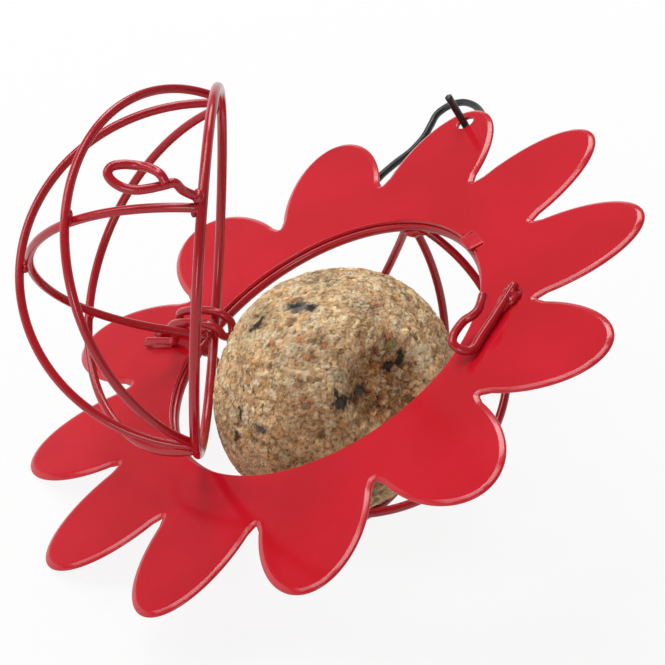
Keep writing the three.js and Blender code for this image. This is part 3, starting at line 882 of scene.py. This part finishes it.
# the way to the side of the ball that the sheet's edge keeps the light from
SHADED_SIDE = unit(np.array((0.45, -0.85, 0.25)))
PALETTE = {"fat": "#E6BF8E", "tan": "#BD9466", "pale": "#EAD6B0", "ochre": "#D39C58", "brown": "#8A6444",
           "millet": "#F6D8A2", "orange": "#CF7F4E", "hull": "#211F1E", "hull_grey": "#66635D",
           "red": "#8E2A20", "green": "#9A9C58", "nut": "#DFD2A6"}
COLOURS = {name: np.array(linear(value)[:3]) for name, value in PALETTE.items()}


def ball_size(ways):
    """The pressed ball's radius by direction: a sphere, longer along one axis by the square of the
    cosine to it, with a few broad waves and the pecked hollow. That is a dip with steep sides and a
    flat floor, whose depth falls off as e to the power -(angle from its middle / reach)^6."""
    swell = sum(share * np.sin(ways @ np.array(wave)) for wave, share in
                (((3, 5, 2), 0.5), ((-6, 2, 5), 0.3), ((4, -7, 9), 0.2)))
    dip = np.exp(-(np.arccos(np.clip(ways @ HOLLOW, -1, 1)) / HOLLOW_REACH) ** 6)
    longer = STRETCH * (ways @ LONG_AXIS) ** 2
    return BALL_RADIUS + longer + LUMPS * (swell - 1) - HOLLOW_DEPTH * dip, dip


def pick(numbers, names, shares):
    """Each number from 0 to 1 picks a colour by the shares."""
    which = np.searchsorted(np.cumsum(shares), numbers * sum(shares), side="right")
    return np.array([COLOURS[name] for name in names])[np.minimum(which, len(names) - 1)]


def blend_in(colour, other, share):
    """colour + (other - colour) x share."""
    return colour + (other - colour) * share[:, None]


def darken(colour, share):
    """colour x (1 - share)."""
    return colour * (1 - share)[:, None]


def soft(value, low, high):
    """0 below low, 1 above high, and a smooth S between."""
    t = np.clip((value - low) / (high - low), 0, 1)
    return t * t * (3 - 2 * t)


LARGE_BITS = [
    (0.2, 0.02, 0.98, 3.9, 1.5, -8, "hull_grey"), (0.16, 0.02, 0.99, 1.5, 0.9, -20, "hull"),
    (0.31, 0.03, 0.95, 1.2, 1.1, 40, "hull"), (-0.14, -0.17, 0.98, 3.2, 1.0, 66, "hull"),
    (0.21, -0.14, 0.97, 1.5, 1.1, 30, "brown"), (0.21, 0.4, 0.89, 2.2, 0.6, -5, "hull_grey"),
    (0.69, -0.56, 0.47, 2.3, 1.6, 30, "hull"), (0.66, -0.52, 0.54, 1.5, 0.6, 100, "hull"),
    (0.81, -0.39, 0.44, 1.7, 1.3, 60, "hull_grey"), (0.92, -0.01, 0.38, 1.6, 1.2, 40, "hull"),
    (0.93, 0.12, 0.35, 1.7, 0.9, 100, "hull"), (-0.15, -0.79, 0.59, 1.6, 0.5, 100, "hull"),
    (-0.17, -0.62, 0.76, 1.2, 0.4, 95, "hull_grey"), (0.04, -0.87, 0.49, 1.6, 1.2, -30, "hull_grey"),
    (0.53, -0.78, 0.33, 1.3, 0.8, 60, "brown"), (-0.24, -0.88, 0.41, 1.5, 1.1, 50, "hull"),
    (0.87, 0.1, 0.49, 1.4, 1.0, 70, "green"), (0.93, 0.24, 0.27, 1.9, 1.0, 0, "nut"),
    (0.8, -0.17, 0.58, 1.7, 1.1, 20, "nut"), (0.87, -0.13, 0.48, 1.7, 1.5, 0, "ochre"),
    (0.82, -0.03, 0.57, 1.4, 0.5, -5, "red"), (0.86, -0.35, 0.38, 1.1, 0.5, 20, "red"),
    (0.91, -0.32, 0.25, 1.2, 0.5, 30, "red"), (0.44, -0.39, 0.81, 1.0, 0.8, 0, "orange"),
    (0.34, -0.28, 0.9, 1.3, 0.9, 0, "orange"), (0.1, -0.33, 0.94, 1.0, 0.8, 0, "orange"),
    (0.43, -0.66, 0.62, 0.9, 0.7, 0, "orange"), (0.68, -0.66, 0.32, 1.2, 0.8, -10, "ochre"),
    (0.61, 0.3, 0.74, 0.9, 0.8, 0, "millet"), (0.42, 0.16, 0.89, 1.1, 0.7, -5, "millet"),
    (0.86, 0.25, 0.45, 1.2, 1.0, 0, "millet"), (-0.36, -0.38, 0.86, 1.1, 1.0, 0, "millet"),
    (-0.13, -0.53, 0.84, 0.9, 0.8, 0, "nut"), (0.23, -0.57, 0.79, 1.0, 0.9, 0, "millet"),
    (0.16, -0.83, 0.53, 1.5, 1.3, 0, "millet"), (0.3, -0.82, 0.48, 0.9, 0.8, 0, "nut"),
    (0.14, -0.94, 0.32, 1.1, 0.9, 60, "millet"), (0.2, -0.94, 0.27, 1.0, 0.9, 0, "nut"),
    (0.05, -0.79, 0.61, 1.0, 0.9, 0, "millet"), (-0.27, -0.64, 0.72, 1.1, 0.8, 10, "millet")]


def large_bits(places, relief, colour):
    """Lays each bit of the table on the ball: direction, half length, half width and heading. A bit
    covers the points whose (along / half length)^2 + (across / half width)^2 is below about 1."""
    ragged = 0.16 * ripple(places, 1.3, 9)
    film = np.ones(len(places))
    for x, y, z, long, wide, heading, kind in LARGE_BITS:
        centre = unit(np.array((x, y, z)))
        east = unit(np.cross((0, 0.72, 0.7), centre))
        north = np.cross(centre, east)
        a = np.radians(heading)
        apart = places - centre * np.linalg.norm(places, axis=1, keepdims=True)
        along = apart @ (east * np.cos(a) + north * np.sin(a)) / long
        across = apart @ (north * np.cos(a) - east * np.sin(a)) / wide
        reach, facing = np.hypot(along, across), places @ centre > 0
        dark = kind in ("hull", "hull_grey", "brown")
        cover = facing * (1 - soft(reach + ragged * (1 if dark else 0.4), 0.9, 1.15))
        rim = facing * np.exp(-((reach - 1.2) / 0.16) ** 2)
        relief = relief + cover * (0.05 if dark else 0.25) - 0.15 * rim
        # painted shade in the groove round each bit
        colour = darken(colour, 0.3 * rim)
        colour = blend_in(colour, COLOURS[kind], cover * (0.95 if dark else 0.8))
        film *= 1 - cover * (0.9 if dark else 0.5)
    return relief, colour, film


def suet_ball(ways):
    """The points and their colours: the radius, plus the relief that each kind of grain adds, and the
    colour of the grain, darkened as painted shade in creases, gaps, pits and the hollow and on the side
    that the sheet keeps the light from. Alpha holds how much of the fat's filmlies over it."""
    size, dip = ball_size(ways)
    places = ways * size[:, None]
    rough = soft(dip, 0.2, 0.7)
    warped = places + 0.35 * np.stack([ripple(places, 2.1, seed) for seed in (1, 2, 3)], 1)
    _, crease, chance = grains(warped, CRUST_CELL, 21)
    relief = 0.26 * (chance[:, 3] - 0.6) * soft(crease, 0, 0.35) - 0.16 * (1 - soft(crease, 0, 0.2))
    colour = pick(chance[:, 4], ("fat", "tan", "pale", "ochre", "brown"), (0.42, 0.22, 0.22, 0.06, 0.08))
    colour = blend_in(colour, COLOURS["fat"], np.full(len(ways), 0.18))
    colour = colour * (0.88 + 0.24 * chance[:, 5])[:, None]
    # painted shade in the creases between the crust's grains
    colour = darken(colour, 0.45 * (1 - soft(crease, 0, 0.16)))
    near, _, chance = grains(warped, MILLET_CELL, 22)
    there = chance[:, 3] < 0.72
    millet, gap = there * (1 - soft(near, 0.24, 0.33)), there * np.exp(-((near - 0.36) / 0.04) ** 2)
    relief += millet * 0.25 - gap * 0.18
    # painted shade in the groove round each millet grain
    colour = darken(colour, 0.5 * gap)
    kernel = pick(chance[:, 4], ("millet", "orange", "nut", "ochre"), (0.5, 0.1, 0.2, 0.2))
    colour = blend_in(colour, kernel, 0.9 * millet)
    clean = 1 - 0.6 * millet
    near, _, chance = grains(warped, HULL_CELL, 23, HULL_STRETCH)
    hull = (chance[:, 3] < 0.35) * (1 - soft(near + 0.04 * ripple(places, 1.2, 5), 0.11, 0.16))
    colour = blend_in(colour, pick(chance[:, 4], ("hull", "hull_grey"), (0.6, 0.4)), 0.9 * hull)
    near, _, chance = grains(warped, PIT_CELL, 26)
    pit = (chance[:, 3] < 0.4) * (1 - soft(near, 0.06, 0.13))
    relief -= 0.5 * pit
    # painted shade in the pits
    colour = darken(colour, 0.55 * pit)
    relief, colour, film = large_bits(places, relief, colour)
    _, crease, chance = grains(warped, TORN_CELL, 25)
    torn = rough * (1.7 * (chance[:, 3] - 0.8) * soft(crease, 0, 0.3) - 0.6 * (1 - soft(crease, 0, 0.25)))
    uneven = 0.06 * ripple(places, 1.4, 6) + 0.18 * ripple(places, 3.6, 10) + 0.12 * ripple(places, 9, 7)
    relief += torn + uneven
    # painted shade in the pecked hollow, deepest in its creases, tinted browner as the broken inside is
    deep = rough * (0.5 + 0.4 * (chance[:, 4] < 0.4) + 0.5 * (1 - soft(crease, 0, 0.3)))
    colour = colour * (1 - np.clip(deep, 0, 1)[:, None] * np.array((0.5, 0.64, 0.74)))
    # painted shade on the side of the ball that the sheet's edge keeps the light from
    side_shade = soft(ways @ SHADED_SIDE, 0.8, 1)
    colour = colour * (1 + 0.1 * ripple(places, 14, 8))[:, None]
    colour = colour * (1 - side_shade[:, None] * np.array((0.36, 0.45, 0.52)))
    film *= clean * (1 - 0.8 * rough)
    shape = (size + np.minimum(relief, HIGHEST_GRAIN))[:, None] * ways
    return shape, np.clip(np.column_stack([colour, film]), 0, 1)


SEAT_WAY, SETTLE = unit(np.array((-0.16, -0.27, -0.95))), 0.6
REAR_RIM_MIDDLE = np.array((0, 0, -SHEET - SEAT - RIM_WIRE))
BALL_PLACE = REAR_RIM_MIDDLE + SEAT_WAY * (CAGE_DEPTH - RIB_WIRE - BALL_RADIUS + SETTLE)
shape, colours = suet_ball(ways)
ball = piece("suet_and_seed_ball", (shape + BALL_PLACE, ball_faces.tolist()), SUET, "suet_ball",
             "suet_and_seed", in_flower, ("suet_ball",))
stored = ball.data.attributes.new("grain_colour", "FLOAT_COLOR", "POINT")
stored.data.foreach_set("color", colours.ravel())
print("ball's centre in the flower's frame", BALL_PLACE.round(2))

# %% [markdown]
# ## Floor and light
# The feeder lies on a plain pale floor that curves up far away, as a photographer's paper sweep does.
# A picture of a studio could light it, but separate lamps can each be put where they are needed.
# Four soft boxes stand in an arc from the left over the top to the back, where the rolled edges of
# the petals throw their pale line into the camera, and a fifth at the front left. A soft grey room
# fills the shadows. Near the feeder the floor keeps a faint shadow, and further away it looks white.

# %% Floor
FLOOR_GRAIN, SHADOW_TO, WHITE_FROM, WHITE_NEAR = 6 * MM, 0.12, 0.5, 0.9


def pale_floor(tree, shader):
    """Off-white, mixed with plain white for rays that reach the eye. The white's share rises in
    proportion to the distance from the middle, from its near value to 1."""
    place = add(tree, "ShaderNodeTexCoord").outputs["Object"]
    grain = add(tree, "ShaderNodeTexNoise", Vector=place, Scale=1 / FLOOR_GRAIN, Detail=3.0)
    colour = add(tree, "ShaderNodeValToRGB", Fac=grain.outputs["Fac"])
    low, high = colour.color_ramp.elements
    low.color, high.color = linear("#EDEDEC"), linear("#F1F1F0")
    feed(tree, shader, Base_Color=colour.outputs["Color"], Roughness=0.8, Specular_IOR_Level=0.1)
    path = add(tree, "ShaderNodeLightPath").outputs
    seen = add(tree, "ShaderNodeMath", {"operation": "MAXIMUM"}, _0=path["Is Camera Ray"],
               _1=path["Is Glossy Ray"])
    seen = add(tree, "ShaderNodeMath", {"operation": "MAXIMUM"}, _0=seen.outputs["Value"],
               _1=path["Is Transmission Ray"])
    away = add(tree, "ShaderNodeVectorMath", {"operation": "LENGTH"}, _0=place)
    far = add(tree, "ShaderNodeMapRange", Value=away.outputs["Value"], From_Min=SHADOW_TO,
              From_Max=WHITE_FROM, To_Min=WHITE_NEAR)
    share = add(tree, "ShaderNodeMath", {"operation": "MULTIPLY"}, _0=far.outputs["Result"],
                _1=seen.outputs["Value"])
    white = add(tree, "ShaderNodeEmission", Color=(1, 1, 1, 1), Strength=1.0)
    both = add(tree, "ShaderNodeMixShader", _0=share.outputs["Value"], _1=shader.outputs["BSDF"],
               _2=white.outputs["Emission"])
    feed(tree, tree.nodes["Material Output"], Surface=both.outputs["Shader"])


FLOOR = finish_of("pale_matt_floor", pale_floor)
FLOOR_LINE = [(0.002, 0), (0.1, 0), (0.3, 0), (0.8, 0), (2.0, 0), (2.8, 0.02), (3.5, 0.15),
              (4.0, 0.45), (4.2, 0.8), (4.25, 1.15)]
FLOOR_SIDES = 64
floor_rings = [np.insert(on_circle(out, full_turn(FLOOR_SIDES)), 2, up, axis=1) for out, up in FLOOR_LINE]
floor_points, floor_faces = skin(np.stack(floor_rings))
floor_mesh = bpy.data.meshes.new("studio_floor")
floor_mesh.from_pydata(floor_points, [], floor_faces[:-1])
floor_mesh.materials.append(FLOOR)
floor = show("studio_floor", floor_mesh)
print("floor", len(floor_points), "points")

# %% Lamps and room
AIM, ROOM_LIGHT = (0, 0, 0.05), 0.26
# each lamp's place and size in metres, and its watts
LAMPS = {"left": ((-1.6, 0.45, 1.15), 0.7, 4.0), "high_left": ((-1.2, 0.22, 1.65), 0.8, 8.2),
         "overhead": ((-0.24, 0.24, 0.97), 0.44, 2.9), "back": ((0.04, 0.78, 0.9), 0.45, 3.6),
         "front_left": ((-0.9, -1.6, 0.9), 0.6, 6.6)}


def softbox(name, place, size, watts):
    """A square white lamp that faces the feeder from that place."""
    lamp = bpy.data.lights.new(name, "AREA")
    lamp.shape, lamp.size, lamp.energy = "SQUARE", size, watts
    box = show(name, lamp)
    box.location = place
    box.rotation_euler = (Vector(AIM) - Vector(place)).to_track_quat("-Z", "Y").to_euler()


for name, lamp in LAMPS.items():
    softbox(name, *lamp)

world = bpy.data.worlds.new("soft_grey_room")
bpy.context.scene.world = world
world.use_nodes = True
room = world.node_tree
feed(room, room.nodes["Background"], Color=(1, 1, 1, 1), Strength=ROOM_LIGHT)
